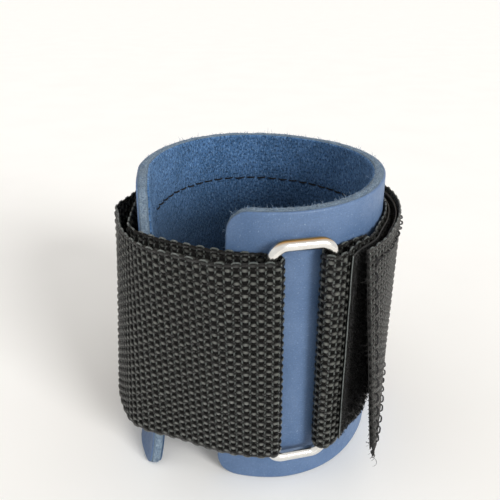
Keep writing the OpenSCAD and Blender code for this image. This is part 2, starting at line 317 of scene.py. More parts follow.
class Paint:
    """A node material, with short ways to add and join nodes. Coordinates are millimetres on the UV map."""

    def __init__(self, name, **sockets):
        self.material = bpy.data.materials.new(name)
        self.material.use_nodes = True
        self.tree = self.material.node_tree
        self.shader = self.tree.nodes["Principled BSDF"]
        for socket, value in sockets.items():
            self.shader.inputs[socket.replace("_", " ")].default_value = value
        self.place = None

    def node(self, kind, links=(), **settings):
        made = self.tree.nodes.new("ShaderNode" + kind)
        for key, value in settings.items():
            setattr(made, key, value)
        for socket, source in dict(links).items():
            if isinstance(source, bpy.types.NodeSocket):
                self.tree.links.new(source, made.inputs[socket])
            else:
                made.inputs[socket].default_value = source
        return made

    def coordinates(self, kind="uv", stretch=(1, 1, 1)):
        if kind == "uv":
            source = self.node("UVMap", uv_map="surface").outputs["UV"]
        else:
            source = self.node("TexCoord").outputs["Object"]
            stretch = tuple(s / MM for s in stretch)
        self.place = self.node("Mapping", {"Vector": source, "Scale": stretch}).outputs["Vector"]
        return self.place

    def noise(self, scale, detail=3.0, roughness=0.55, place=None):
        links = {"Vector": place or self.place, "Scale": scale, "Detail": detail, "Roughness": roughness}
        return self.node("TexNoise", links).outputs["Fac"]

    def stretched(self, scale, turn=0.0):
        """The coordinates, scaled and turned by an angle in radians."""
        links = {"Vector": self.place, "Scale": scale, "Rotation": (0, 0, turn)}
        return self.node("Mapping", links).outputs["Vector"]

    def share_above(self, low, high):
        """0 below the height low and 1 above high, in metres over the floor."""
        level = self.node("SeparateXYZ", {"Vector": self.node("TexCoord").outputs["Object"]}).outputs["Z"]
        return self.node("MapRange", {"Value": level, "From Min": low, "From Max": high}).outputs["Result"]

    def ramp(self, factor, *stops):
        made = self.node("ValToRGB", {"Fac": factor})
        elements = made.color_ramp.elements
        while len(elements) < len(stops):
            elements.new(0.5)
        for element, (position, colour) in zip(elements, stops):
            element.position = position
            element.color = (*colour, 1) if isinstance(colour, tuple) else (colour, colour, colour, 1)
        return made.outputs["Color"]

    def mix(self, factor, a, b, blend="MIX"):
        made = self.node("MixRGB", {"Fac": factor}, blend_type=blend)
        for socket, source in (("Color1", a), ("Color2", b)):
            if isinstance(source, bpy.types.NodeSocket):
                self.tree.links.new(source, made.inputs[socket])
            else:
                made.inputs[socket].default_value = (*source, 1)
        return made.outputs["Color"]

    def bump(self, height, depth, strength=1.0):
        """Bumps of about depth millimetres, over any made before."""
        made = self.node("Bump", {"Height": height, "Strength": strength, "Distance": depth * MM})
        before = self.shader.inputs["Normal"].links
        if before:
            self.tree.links.new(before[0].from_socket, made.inputs["Normal"])
        self.tree.links.new(made.outputs["Normal"], self.shader.inputs["Normal"])

    def set(self, socket, source):
        self.tree.links.new(source, self.shader.inputs[socket])


SUEDE_SHADE = (0.045, 0.064)  # heights in metres between which the suede gets its full colour
TOP_BAR = (0.055, 0.061)  # and between which the ring's tint starts


def grain_leather():
    """The dyed, satin outer face, with faint mottling, pores and pale scuffs."""
    p = Paint("grain_leather", Roughness=0.5, Specular_IOR_Level=0.45)
    p.coordinates()
    cloud = p.ramp(p.noise(0.11, 5, 0.65), (0.3, (0.068, 0.128, 0.248)), (0.7, (0.104, 0.172, 0.305)))
    fleck = p.ramp(p.noise(1.9, 2), (0.62, 0.0), (0.75, 1.0))
    fine = p.ramp(p.noise(2.8, 4, 0.7), (0.38, 0.80), (0.62, 1.0))
    cloud = p.mix(1.0, cloud, fine, "MULTIPLY")
    p.set("Base Color", p.mix(p.mix(0.35, (0, 0, 0), fleck), cloud, (0.33, 0.43, 0.55)))
    p.set("Roughness", p.ramp(p.noise(0.6, 3), (0.3, 0.42), (0.7, 0.6)))
    pores = p.node("TexVoronoi", {"Vector": p.place, "Scale": 2.4}, feature="DISTANCE_TO_EDGE")
    p.bump(pores.outputs["Distance"], 0.05, 0.5)
    p.bump(p.noise(0.45, 3), 0.25, 0.35)
    return p.material


def suede():
    """The napped inner face."""
    p = Paint("suede", Roughness=0.95, Specular_IOR_Level=0.1, Sheen_Weight=0.35, Sheen_Roughness=0.5,
              Sheen_Tint=(0.35, 0.55, 0.85, 1))
    p.coordinates()
    blotch = p.ramp(p.noise(0.12, 4, 0.6), (0.3, (0.032, 0.092, 0.205)), (0.7, (0.072, 0.165, 0.345)))
    nap = p.noise(1.0, 4, 0.7, p.stretched((1.9, 0.9, 1), 0.9))
    curl = p.noise(1.5, 3, 0.65)
    lit = p.mix(p.ramp(nap, (0.48, 0.0), (0.68, 0.9)), blotch, (0.18, 0.32, 0.54))
    pitted = p.mix(p.ramp(curl, (0.36, 0.85), (0.52, 0.0)), lit, (0.006, 0.018, 0.045))
    # Darker lower down, which stands in for the shade deep inside the cuff.
    shade = p.ramp(p.share_above(*SUEDE_SHADE), (0.0, 0.38), (1.0, 1.0))
    p.set("Base Color", p.mix(1.0, pitted, shade, "MULTIPLY"))
    p.bump(nap, 0.45, 0.9)
    p.bump(curl, 0.30, 0.7)
    p.bump(p.noise(5.0, 2), 0.12, 0.7)
    return p.material


def raw_edge():
    """The cut edge: pale felted fibres between the dyed faces."""
    p = Paint("raw_edge", Roughness=0.9, Specular_IOR_Level=0.15)
    p.coordinates()
    base = p.ramp(p.noise(0.8, 4, 0.7), (0.3, (0.14, 0.21, 0.30)), (0.7, (0.31, 0.39, 0.47)))
    crumbs = p.ramp(p.noise(2.2, 3, 0.7), (0.38, 0.75), (0.5, 0.0))
    p.set("Base Color", p.mix(crumbs, base, (0.06, 0.09, 0.14)))
    p.bump(p.noise(2.2, 3, 0.7), 0.5, 1.0)
    p.bump(p.noise(6.0, 2, 0.7), 0.2, 0.8)
    return p.material


def leather_fibre(name, dark, light):
    p = Paint(name, Roughness=0.8, Specular_IOR_Level=0.2)
    p.coordinates("object")
    p.set("Base Color", p.ramp(p.noise(1.1, 2), (0.35, dark), (0.65, light)))
    return p.material


def yarn(name, dark, light, roughness, spec, crest_highlight=None):
    """Multifilament yarn. On its map, x runs round the yarn from 0 to 1 and y along it in millimetres.
    The last argument is the colour of a painted highlight on the crests, which stands in for the light they
    catch."""
    p = Paint(name, Specular_IOR_Level=spec)
    p.coordinates()
    twist = p.node("TexWave", {"Vector": p.stretched((9, 2.2, 1)), "Scale": 1.0, "Distortion": 1.5,
                               "Detail": 1.0}, bands_direction="DIAGONAL").outputs["Fac"]
    colour = p.ramp(p.noise(0.35, 4), (0.3, dark), (0.72, light))
    # Painted highlight: the crests are mixed towards a lighter colour, standing in for the light they catch.
    if crest_highlight:
        crest = p.node("Attribute", attribute_name="crest").outputs["Fac"]
        colour = p.mix(p.ramp(crest, (0.60, 0.0), (0.98, 1.0)), colour, crest_highlight)
    p.set("Base Color", colour)
    p.set("Roughness", p.ramp(p.noise(1.1, 2), (0.3, roughness - 0.07), (0.7, roughness + 0.1)))
    p.bump(twist, 0.14, 1.0)
    return p.material


def polished_nickel():
    p = Paint("polished_nickel", Metallic=1.0)
    p.coordinates("object")
    haze = p.ramp(p.noise(0.5, 3), (0.3, (0.76, 0.74, 0.70)), (0.7, (0.86, 0.85, 0.82)))
    # A tint on the top bar's upward faces stands in for the warm reflection along its rim.
    upward = p.node("SeparateXYZ", {"Vector": p.node("NewGeometry").outputs["Normal"]}).outputs["Z"]
    tint = p.mix(1.0, p.ramp(upward, (0.62, 0.0), (0.90, 1.0)), p.share_above(*TOP_BAR), "MULTIPLY")
    p.set("Base Color", p.mix(tint, haze, (0.52, 0.30, 0.10)))
    p.set("Roughness", p.ramp(p.noise(2.5, 4, 0.7), (0.35, 0.12), (0.75, 0.26)))
    p.bump(p.noise(1.2, 3), 0.02, 0.4)
    return p.material


def black_plastic(name, dark, light, roughness):
    p = Paint(name, Specular_IOR_Level=0.4)
    p.coordinates("object")
    p.set("Base Color", p.ramp(p.noise(1.3, 3), (0.3, dark), (0.7, light)))
    p.set("Roughness", p.ramp(p.noise(3.0, 2), (0.3, roughness - 0.08), (0.7, roughness + 0.08)))
    p.bump(p.noise(6.0, 2), 0.05, 0.5)
    return p.material


GRAIN = grain_leather()
SUEDE = suede()
RAW_EDGE = raw_edge()
FIBRE = leather_fibre("edge_fibre", (0.05, 0.11, 0.22), (0.33, 0.43, 0.55))
NAP_FIBRE = leather_fibre("nap_fibre", (0.012, 0.04, 0.10), (0.10, 0.19, 0.34))
# Each warp's last colour is the painted highlight on its crests.
WARP = yarn("webbing_warp", (0.003, 0.0025, 0.002), (0.009, 0.008, 0.006), 0.32, 0.6, (0.16, 0.168, 0.15))
# Painted light: the flap's warp is the strap's yarn in lighter colours, standing in for the light the flap
# catches where it faces the key light.
LIT_FLAP_WARP = yarn("flap_warp_painted_lighter", (0.018, 0.017, 0.015), (0.042, 0.040, 0.036), 0.46, 0.8, (0.13, 0.13, 0.12))
CORE = yarn("webbing_core", (0.003, 0.003, 0.003), (0.007, 0.006, 0.005), 0.7, 0.2)
# Painted highlight: the weft's pale greenish colour stands in for the glints the picks show in the gaps
# between the ends.
GLINTING_WEFT = yarn("webbing_weft_painted_glints", (0.13, 0.15, 0.14), (0.24, 0.27, 0.25), 0.30, 1.0)
NICKEL = polished_nickel()
PILE = black_plastic("loop_pile", (0.006, 0.006, 0.006), (0.020, 0.020, 0.019), 0.42)
# Painted highlight: the loop tape's cut edge is a lighter grey, standing in for the light line it catches.
LIT_TAPE_EDGE = black_plastic("tape_cut_edge_painted_highlight", (0.07, 0.08, 0.08), (0.16, 0.175, 0.17), 0.35)
HOOKS = black_plastic("hook_plastic", (0.008, 0.008, 0.008), (0.02, 0.02, 0.019), 0.38)
SEWING = yarn("sewing_thread", (0.006, 0.006, 0.008), (0.016, 0.016, 0.02), 0.45, 0.5)

# ---- Leather

FRONT_LOW, FRONT_HIGH = -10.9, -6.9  # x of the front end at the bottom and at the top
WING_LOW, WING_HIGH = -29.3, -14.2  # y of the free left end at the bottom and at the top
WING_ROOT_ANGLE = 182
WING_LEAN = (0.13, 0.135)  # inward run for each millimetre forward, at the bottom and top
WING_FLARE = 4.3  # how far the free end's foot stands out below the strap
FLARE_TOP = 11.0  # where that flare starts
# Distance forward, and the share of the flare there.
FLARE_ROUTE = [
    (0, 0), (8, .45), (14, .95), (17.7, 1), (20, .95), (22.5, .84), (25.3, .65), (27.6, .49), (30, .3),
]
WING_CORNER = 2.5  # corner radius of the free end's foot
EDGE_ROUND = 0.4
LEATHER_PITCH = 0.62  # size of the band's mesh steps
RIM_STEPS = 8
SUEDE_MAP, RIM_MAP = 100, 200  # where the suede and the rim start on the band's map


def leather_strip():
    """The band's outer face, from beyond the front end round the back to beyond the free left end."""
    oval = oval_point(np.arange(-121, WING_ROOT_ANGLE, 0.5))
    root = oval_point(WING_ROOT_ANGLE)
    ahead = np.linspace(0, 30, 120)
    sides = []
    for lean in WING_LEAN:
        wing = root + ahead[:, None] * unit(np.array([lean, -1.0]))
        sides.append(np.concatenate([oval, wing]))
    return Strip(sides[0], sides[1], 0, CUFF_HEIGHT).smoothed(4)


def crossing(strip, side, axis, value, from_end):
    """The distance u at which an edge line first reaches a coordinate, seen from one of the band's ends."""
    line = strip.edges[side][:, axis]
    half = len(line) // 4
    part = slice(-half, None) if from_end else slice(0, half)
    order = np.argsort(line[part])
    return np.interp(value, line[part][order], strip.u[part][order])


def softened_grid(start, stop, pitch):
    """Even steps, with extra ones close to both ends for the rounded rims."""
    fine = np.array([0, 0.12, 0.3, 0.6])
    middle = np.linspace(start + 1.1, stop - 1.1, int((stop - start) / pitch))
    return np.r_[start + fine, middle, stop - fine[::-1]]


def leather():
    """The band's strip, the points of its outer and inner faces, their places u and z on the strip, and
    their directions away from the rounded outline's middle."""
    strip = leather_strip()
    front = [crossing(strip, 0, 0, FRONT_LOW, False), crossing(strip, 1, 0, FRONT_HIGH, False)]
    left = [crossing(strip, 0, 1, WING_LOW, True), crossing(strip, 1, 1, WING_HIGH, True)]
    length = (left[0] + left[1] - front[0] - front[1]) / 2
    along = softened_grid(0, length, LEATHER_PITCH)
    up = softened_grid(0, CUFF_HEIGHT, LEATHER_PITCH)
    x, z = np.meshgrid(along, up, indexing="ij")
    rim = np.minimum(np.minimum(x, length - x), np.minimum(z, CUFF_HEIGHT - z))
    # Each corner's square of the grid is bent onto a quarter disc.
    radius = np.where((x > length / 2) & (z < CUFF_HEIGHT / 2), WING_CORNER, CORNER_RADIUS)
    px = np.clip(np.maximum(radius - x, x - (length - radius)), 0, None) / radius
    pz = np.clip(np.maximum(radius - z, z - (CUFF_HEIGHT - radius)), 0, None) / radius
    pull_x = px * (1 - np.sqrt(1 - pz ** 2 / 2)) * radius
    pull_z = pz * (1 - np.sqrt(1 - px ** 2 / 2)) * radius
    x = x + pull_x * np.where(x < length / 2, 1, -1)
    z = z + pull_z * np.where(z < CUFF_HEIGHT / 2, 1, -1)
    share = z / CUFF_HEIGHT
    start = front[0] + (front[1] - front[0]) * share
    stop = left[0] + (left[1] - left[0]) * share
    u = start + (stop - start) * x / length
    place = np.stack([u, z], -1)
    wave = 0.17 * value_noise(place, 17, 1) + 0.08 * value_noise(place, 6, 2)
    soft = np.clip(EDGE_ROUND - rim, 0, None)
    rounding = EDGE_ROUND - np.sqrt(EDGE_ROUND ** 2 - soft ** 2)
    rough = 0.06 * value_noise(place, 1.3, 3) + 0.05 * value_noise(place, 2.9, 4)
    dimple = stitch_dimples(strip, u, z)
    flare = wing_flare(strip, u, z)
    outer, _ = strip.at(u, z, wave * 0.6 + rounding + flare)
    inner, _ = strip.at(u, z, LEATHER_THICK - rounding + wave * 0.6 + rough - dimple + flare)
    sides = np.clip(x, radius, length - radius)
    levels = np.clip(z, radius, CUFF_HEIGHT - radius)
    away = np.stack([x - sides, z - levels], -1)
    return strip, outer, inner, u, z, away


def wing_flare(strip, u, z):
    """How far the free end's foot stands out from the band, as a height on the band (outward is negative)."""
    forward = -strip.at(u, z)[0][..., 1]
    share = np.interp(forward, [k[0] for k in FLARE_ROUTE], [k[1] for k in FLARE_ROUTE])
    share = np.where(u > 0.75 * strip.length, share, 0)
    return -WING_FLARE * share * np.clip(1 - z / FLARE_TOP, 0, 1) ** 2


def stitch_dimples(strip, u, z):
    """How far the thread pulls the suede in, round both ends of each stitch."""
    depth = np.zeros_like(u)
    for level in (STRAP_HIGH - ROW_INSET, STRAP_LOW + ROW_INSET):
        for a in stitch_angles(STITCH_START_ANGLE, STITCH_END_ANGLE):
            middle = leather_distance(strip, a)
            for end in (middle - STITCH_LENGTH / 2, middle + STITCH_LENGTH / 2):
                near = np.abs(u - end) < 2.5
                reach = (u[near] - end) ** 2 + (z[near] - level) ** 2
                depth[near] += 0.32 * np.exp(-reach / 0.55 ** 2)
    return depth


def leather_distance(strip, a):
    """The distance along the leather of the angle a on its outer face."""
    spots = strip.edges[0]
    angle = np.degrees(np.arctan2(spots[:, 1], spots[:, 0]))
    angle = np.where(angle < -125, angle + TURN, angle)
    keep = slice(0, int(len(angle) * 0.86))
    return np.interp(a, angle[keep], strip.u[keep])


def grid_quads(rows, columns, start=0, flip=False):
    i, j = np.meshgrid(np.arange(rows - 1), np.arange(columns - 1), indexing="ij")
    a = start + i * columns + j
    quads = np.stack([a, a + columns, a + columns + 1, a + 1], -1).reshape(-1, 4)
    return quads[:, ::-1] if flip else quads


def border_of(rows, columns):
    """The grid indices round a grid's border, in order."""
    index = np.arange(rows * columns).reshape(rows, columns)
    return np.concatenate([index[0, :-1], index[:-1, -1], index[-1, :0:-1], index[:0:-1, 0]])


def rim_rings(edge_out, edge_in, outward):
    """The rim's rings from the outer border to the inner one, slightly crowned and rough, with their map."""
    run = np.arange(len(edge_out)) * LEATHER_PITCH
    rings = []
    for k in range(1, RIM_STEPS):
        t = k / RIM_STEPS
        crown = 0.22 * math.sin(math.pi * t) ** 0.5
        spot = np.stack([run, np.full_like(run, t * LEATHER_THICK)], -1)
        grit = 0.13 * value_noise(spot, 0.9, 5) + 0.10 * value_noise(spot, 2.3, 6)
        ring = edge_out + (edge_in - edge_out) * t + outward * (crown + grit)[:, None]
        # The rim doesn't go below the floor.
        ring[:, 2] = np.maximum(ring[:, 2], 0)
        rings.append((ring, np.stack([run, np.full_like(run, RIM_MAP + LEATHER_THICK * t)], -1)))
    return rings


def leather_piece():
    strip, outer, inner, u, z, away = leather()
    rows, columns = u.shape
    border = border_of(rows, columns)
    flat_uv = np.stack([u, z], -1).reshape(-1, 2)
    points = [outer.reshape(-1, 3), inner.reshape(-1, 3)]
    uv = [flat_uv, flat_uv + [0, SUEDE_MAP]]
    quads = [grid_quads(rows, columns, flip=True), grid_quads(rows, columns, rows * columns)]
    kinds = [np.zeros(len(quads[0])), np.ones(len(quads[1]))]
    total = 2 * rows * columns
    edge_out, edge_in = points[0][border], points[1][border]
    away = unit(away.reshape(-1, 2)[border])
    ahead = unit(strip.at(flat_uv[border][:, 0] + 0.5, flat_uv[border][:, 1])[0]
                 - strip.at(flat_uv[border][:, 0] - 0.5, flat_uv[border][:, 1])[0])
    outward = ahead * away[:, :1] + np.array([0, 0, 1.0]) * away[:, 1:]
    last_ring = border
    for ring, ring_uv in rim_rings(edge_out, edge_in, outward):
        points.append(ring)
        uv.append(ring_uv)
        here = total + np.arange(len(border))
        total += len(border)
        quads.append(ring_to_ring(last_ring, here))
        last_ring = here
    quads.append(ring_to_ring(last_ring, border + rows * columns))
    kinds.append(np.full(RIM_STEPS * len(border), 2))
    piece = make_piece("leather_band", np.concatenate(points), np.concatenate(quads)[:, ::-1],
                       [GRAIN, SUEDE, RAW_EDGE], np.concatenate(uv), np.concatenate(kinds))
    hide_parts("leather_cuff", "leather_wing")
    bend_at_wing(piece)
    fibres = edge_fibres(edge_out, edge_in, outward)
    nap = suede_nap(strip, (u[0].max(), u[-1].min()))
    for one in (fibres, nap):
        bend_at_wing(one)
    return strip


def bend_at_wing(piece):
    """Bakes the piece's transform into its mesh."""
    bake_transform(piece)


# ---- Webbing
# Face ends rise between every other pair of picks, and back ends rise between the pairs left over. A back
# end lies close over the face end below it, so the picks show above it as short upright glints.

PICK = 1.62  # from one pick to the next
REPEAT = 2 * PICK
WARP_COUNT = 52  # face ends and back ends in turn
WARP_HEIGHT = 0.25  # how far the ends lie from the webbing's middle
WARP_LENGTHS = 5  # samples for each pick
WARP_SIDES = 6
WARP_WIDTH = 0.57  # half sizes of an end at its crest
WARP_DEPTH = 0.28
WEFT_WIDTH = 0.21
WEFT_DEPTH = 0.19
TIE_SHIFT = 0.40  # how far a back end leans down over its neighbour
CORE_THICK = 0.12  # the dark slab that fills the holes between the yarns
HINGE_REACH = 4.0  # half the length of webbing round the peel and the tip at which points on the strap are read


def strap_strip():
    """The whole webbing: flap, outer layer, left fold, inner layer, right fold and tail, as one band."""
    half = WEBBING_THICK / 2
    outer = np.arange(FLAP_END_ANGLE - TURN, LEFT_LEG_ANGLE + 0.01, 0.5)
    inner = np.arange(LEFT_LEG_ANGLE, RIGHT_LEG_ANGLE - TURN, -0.5)
    tail = np.arange(RIGHT_LEG_ANGLE, TAB_TAIL_ANGLE + 0.01, 0.5)
    left_leg = stand_off(LEFT_LEG_ANGLE, LEG_STAND_OFF)
    right_leg = stand_off(RIGHT_LEG_ANGLE, LEG_STAND_OFF)
    left_fold = arc(left_leg, FOLD_RADIUS, normal_angle(LEFT_LEG_ANGLE), 180)
    right_fold = arc(right_leg, FOLD_RADIUS, normal_angle(RIGHT_LEG_ANGLE), -180)
    sides = []
    for column in (1, 2):
        sides.append(np.concatenate([
            stand_off(outer, route_height(OUTER_ROUTE, column, outer) + half),
            left_fold[1:],
            stand_off(inner, route_height(INNER_ROUTE, column, inner) + half)[1:],
            right_fold[1:],
            stand_off(tail, np.full(len(tail), SKIN_GAP + half))[1:],
        ]))
    strip = Strip(sides[0], sides[1], STRAP_LOW, STRAP_HIGH)
    knots = strip.knots
    marks = {
        "tip": np.interp(TIP_ANGLE - TURN, outer, knots[:len(outer)]),
        "peel": np.interp(PEEL_ANGLE - TURN, outer, knots[:len(outer)]),
        "hook_start": np.interp(HOOK_START_ANGLE - TURN, outer, knots[:len(outer)]),
        "outer_end": knots[len(outer) - 1],
        "inner_start": knots[len(outer) + len(left_fold) - 2],
        "inner_end": knots[len(outer) + len(left_fold) + len(inner) - 3],
        "end": knots[-1],
    }
    return strip.smoothed(1.6), marks


def warp(strip, u0, u1, lengths=WARP_LENGTHS, sides=WARP_SIDES, ragged=0.0, seed=11, flat=1.0):
    """The points, quads, map and crests of the warp ends between two distances. ragged frays the end at
    u0, and flat is a factor of the height to which the ends rise."""
    rng = np.random.default_rng(seed)
    rings = max(3, int(round((u1 - u0) / PICK * lengths)) + 1)
    k = np.arange(WARP_COUNT)[:, None]
    start = u0 - ragged * rng.random((WARP_COUNT, 1))
    u = start + (u1 - start) * np.linspace(0, 1, rings)[None, :]
    face = k % 2 == 0
    rim = np.minimum(k, WARP_COUNT - 1 - k) < 1
    between = np.cos(2 * np.pi * u / REPEAT)
    number = np.floor(u / REPEAT + np.where(face, 0.0, 0.5))
    spot = np.stack([number, np.broadcast_to(k * 3.7, u.shape)], -1)
    uneven = value_noise(spot, 0.71, 21)
    side = np.clip((between + 0.6) / 0.8, 0, 1)
    shift = -TIE_SHIFT * side * side * (3 - 2 * side)
    pitch = STRAP_WIDTH / WARP_COUNT
    z = STRAP_LOW + pitch * (k + 0.5) + 0.09 * uneven + np.where(face | rim, 0, shift)
    swing = np.where(face, -between, between)
    level = np.sign(swing) * np.abs(swing) ** 0.9
    height = flat * WARP_HEIGHT * level * (1 + 0.22 * uneven) * np.where(rim, 0.45, 1.0)
    width = WARP_WIDTH + 0.06 * uneven - 0.17 * (1 - np.abs(between)) - 0.05 * np.where(face, 0, 1)
    spots, normal = strip.at(u, np.clip(z, STRAP_LOW + 0.1, STRAP_HIGH - 0.1), height)
    side_a = np.zeros_like(spots)
    side_a[..., 2] = width
    side_a += 0.10 * unit(np.gradient(spots, axis=1)) * np.sign(swing)[..., None]
    points = tube_points(spots, side_a, normal * WARP_DEPTH, sides)
    turn = 2 * np.pi * np.arange(sides) / sides
    crest = (np.abs(height[..., None] + WARP_DEPTH * np.sin(turn))) / (WARP_HEIGHT + WARP_DEPTH)
    crest = crest * (np.sign(height)[..., None] == np.sign(np.sin(turn) + 1e-6))
    # Each end has its own stretch of the map.
    uv = tube_map(points, u + 37.0 * k)
    return points.reshape(-1, 3), tube_quads(WARP_COUNT, rings, sides), uv, crest


def weft(strip, u0, u1, sides=6):
    """The weft, as one yarn that goes up at one pick and down at the next, and turns round both edges."""
    first = math.ceil((u0 + 0.3) / PICK - 0.5)
    last = math.floor((u1 - 0.3) / PICK - 0.5)
    rise = np.linspace(0, 1, 15)
    low, high = STRAP_LOW + 0.12, STRAP_HIGH - 0.12
    line = []
    for n in range(first, last + 1):
        shares = rise if n % 2 == 0 else rise[::-1]
        line.append(np.stack([np.full(len(rise), (n + 0.5) * PICK), low + (high - low) * shares], -1))
        turn = high + 0.16 if n % 2 == 0 else low - 0.16
        if n < last:
            line.append(np.array([[(n + share) * PICK, turn] for share in (0.72, 1.0, 1.28)]))
    line = np.concatenate(line)
    spots, normal = strip.at(line[:, 0], np.clip(line[:, 1], STRAP_LOW, STRAP_HIGH))
    spots[:, 2] = line[:, 1]
    tangent = unit(np.gradient(spots, axis=0))
    side_a = unit(np.cross(tangent, normal)) * WEFT_WIDTH
    points = tube_points(spots, side_a, normal * WEFT_DEPTH, sides)
    return points.reshape(-1, 3), tube_quads(1, len(line), sides), tube_map(points, np.arange(len(line)) * 3.5)


def webbing_piece(name, strip, u0, u1, slot="webbing", yarns=None, **options):
    """A length of woven webbing as one piece."""
    warp_points, warp_quads, warp_uv, warp_crest = warp(strip, u0, u1, **options)
    weft_points, weft_quads, weft_uv = weft(strip, u0, u1)
    core_points, core_quads = tape_slab(strip, u0 + 0.5, u1 - 0.1, STRAP_LOW + 0.5, STRAP_HIGH - 0.5,
                                        -CORE_THICK / 2, CORE_THICK, columns=4)
    points = np.concatenate([warp_points, weft_points, core_points])
    quads = np.concatenate([
        warp_quads, weft_quads + len(warp_points), core_quads + len(warp_points) + len(weft_points)])
    uv = np.concatenate([warp_uv.reshape(-1, 2), weft_uv.reshape(-1, 2), core_points[:, [0, 2]]])
    kinds = np.r_[np.zeros(len(warp_quads)), np.ones(len(weft_quads)), np.full(len(core_quads), 2)]
    crest = np.r_[warp_crest.ravel(), np.zeros(len(points) - len(warp_points))]
    piece = make_piece(name, points, quads, yarns or [WARP, GLINTING_WEFT, CORE], uv, kinds, crest)
    return piece


def strap_point(strip, u, height=0.0):
    """A point in metres at mid height of the strap."""
    spot, _ = strip.at(u, (STRAP_LOW + STRAP_HIGH) / 2, height)
    return tuple(spot * MM)


def webbing():
    strip, marks = strap_strip()
    middle = (marks["peel"] + marks["outer_end"]) / 2 + 6
    split = marks["peel"] + 38
    tip_from = marks["peel"] - 10
    # The flap's warp is lighter than the strap's: painted light for how the flap faces the key light.
    flap = {"slot": "webbing_flap", "yarns": [LIT_FLAP_WARP, GLINTING_WEFT, CORE], "flat": 0.6}
    tip = webbing_piece("flap_tip_webbing", strip, 0, tip_from, ragged=0.5, **flap)
    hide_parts("flap_tip")
    bend_at_tip(tip, strip, marks)
    side = webbing_piece("flap_side_webbing", strip, tip_from, split, **flap)
    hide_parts("flap_side")
    strap_point(strip, marks["peel"] + HINGE_REACH)
    strap_point(strip, marks["peel"] - HINGE_REACH)
    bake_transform(side)
    back = webbing_piece("outer_strap_back", strip, split, middle)
    front = webbing_piece("outer_strap_front", strip, middle, marks["inner_start"] + 2)
    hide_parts("outer_strap", "left_fold")
    half = (marks["inner_start"] + marks["inner_end"]) / 2
    inner_left = webbing_piece("inner_strap_left", strip, marks["inner_start"] + 2, half, lengths=4)
    inner_right = webbing_piece("inner_strap_right", strip, half, marks["inner_end"] - 14, lengths=4)
    tab = webbing_piece("ring_tab_webbing", strip, marks["inner_end"] - 14, marks["end"])
    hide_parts("inner_strap")
    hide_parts("ring_tab")
    for piece in (back, front, inner_left, inner_right, tab):
        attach(piece, "cuff")
    return strip, marks


# ---- Hook and loop tape

FACE = WEBBING_THICK / 2 + SEAM_GAP  # from the strap's middle to a tape sewn on it
TAPE_BASE = 0.3  # thickness of a tape without its pile or hooks
TAPE_MARGIN = 0.3
SEAM_INSET = 2  # from a tape's edge to its row of stitches


def tape_slab(strip, u0, u1, low, high, height, thick, columns=40):
    """A thin slab on a strip, between two distances and two levels."""
    rows = max(4, int(abs(u1 - u0) / 0.8))
    u, z = np.meshgrid(np.linspace(u0, u1, rows), np.linspace(low, high, columns), indexing="ij")
    bottom, _ = strip.at(u, z, height)
    top, _ = strip.at(u, z, height + thick)
    points = np.concatenate([bottom.reshape(-1, 3), top.reshape(-1, 3)])
    border = border_of(rows, columns)
    over = border + rows * columns
    quads = np.concatenate([
        grid_quads(rows, columns), grid_quads(rows, columns, rows * columns, flip=True),
        ring_to_ring(border, over)[:, ::-1],
    ])
    return points, quads


def scattered(strip, u0, u1, low, high, density, seed):
    """Random places on a strip: distance and level of about density spots for each square millimetre."""
    rng = np.random.default_rng(seed)
    count = int(abs(u1 - u0) * (high - low) * density)
    return rng.uniform(min(u0, u1), max(u0, u1), count), rng.uniform(low, high, count), rng


def pile_loops(strip, u0, u1, low, high, density, height, seed, tall=0.55):
    """Curly loops standing on a tape."""
    u, z, rng = scattered(strip, u0, u1, low, high, density, seed)
    count = len(u)
    t = np.linspace(0, 1, 9)[None, :]
    spread = rng.uniform(0.15, 0.5, (count, 1))
    lift = tall * rng.uniform(0.5, 1.0, (count, 1))
    turn = rng.uniform(0, 2 * np.pi, (count, 1))
    curl = rng.uniform(0.4, 1.0, (count, 1))
    across = spread * np.cos(np.pi * t) + 0.22 * curl * np.sin(2 * np.pi * t + turn)
    sideways = 0.25 * curl * np.sin(2 * np.pi * t * 1.5 + turn)
    rise = lift * np.sin(np.pi * t) ** 0.7
    du = across * np.cos(turn) - sideways * np.sin(turn)
    dz = across * np.sin(turn) + sideways * np.cos(turn)
    level = np.clip(z[:, None] + dz, low, high)
    paths, _ = strip.at(u[:, None] + du, level, height + rise)
    return thin_tubes(paths, 0.055, 3)


def inner_distance(marks, a):
    """The distance along the strap of the angle a on its inner layer."""
    share = (LEFT_LEG_ANGLE - (a - TURN)) / (LEFT_LEG_ANGLE - (RIGHT_LEG_ANGLE - TURN))
    return marks["inner_start"] + share * (marks["inner_end"] - marks["inner_start"])


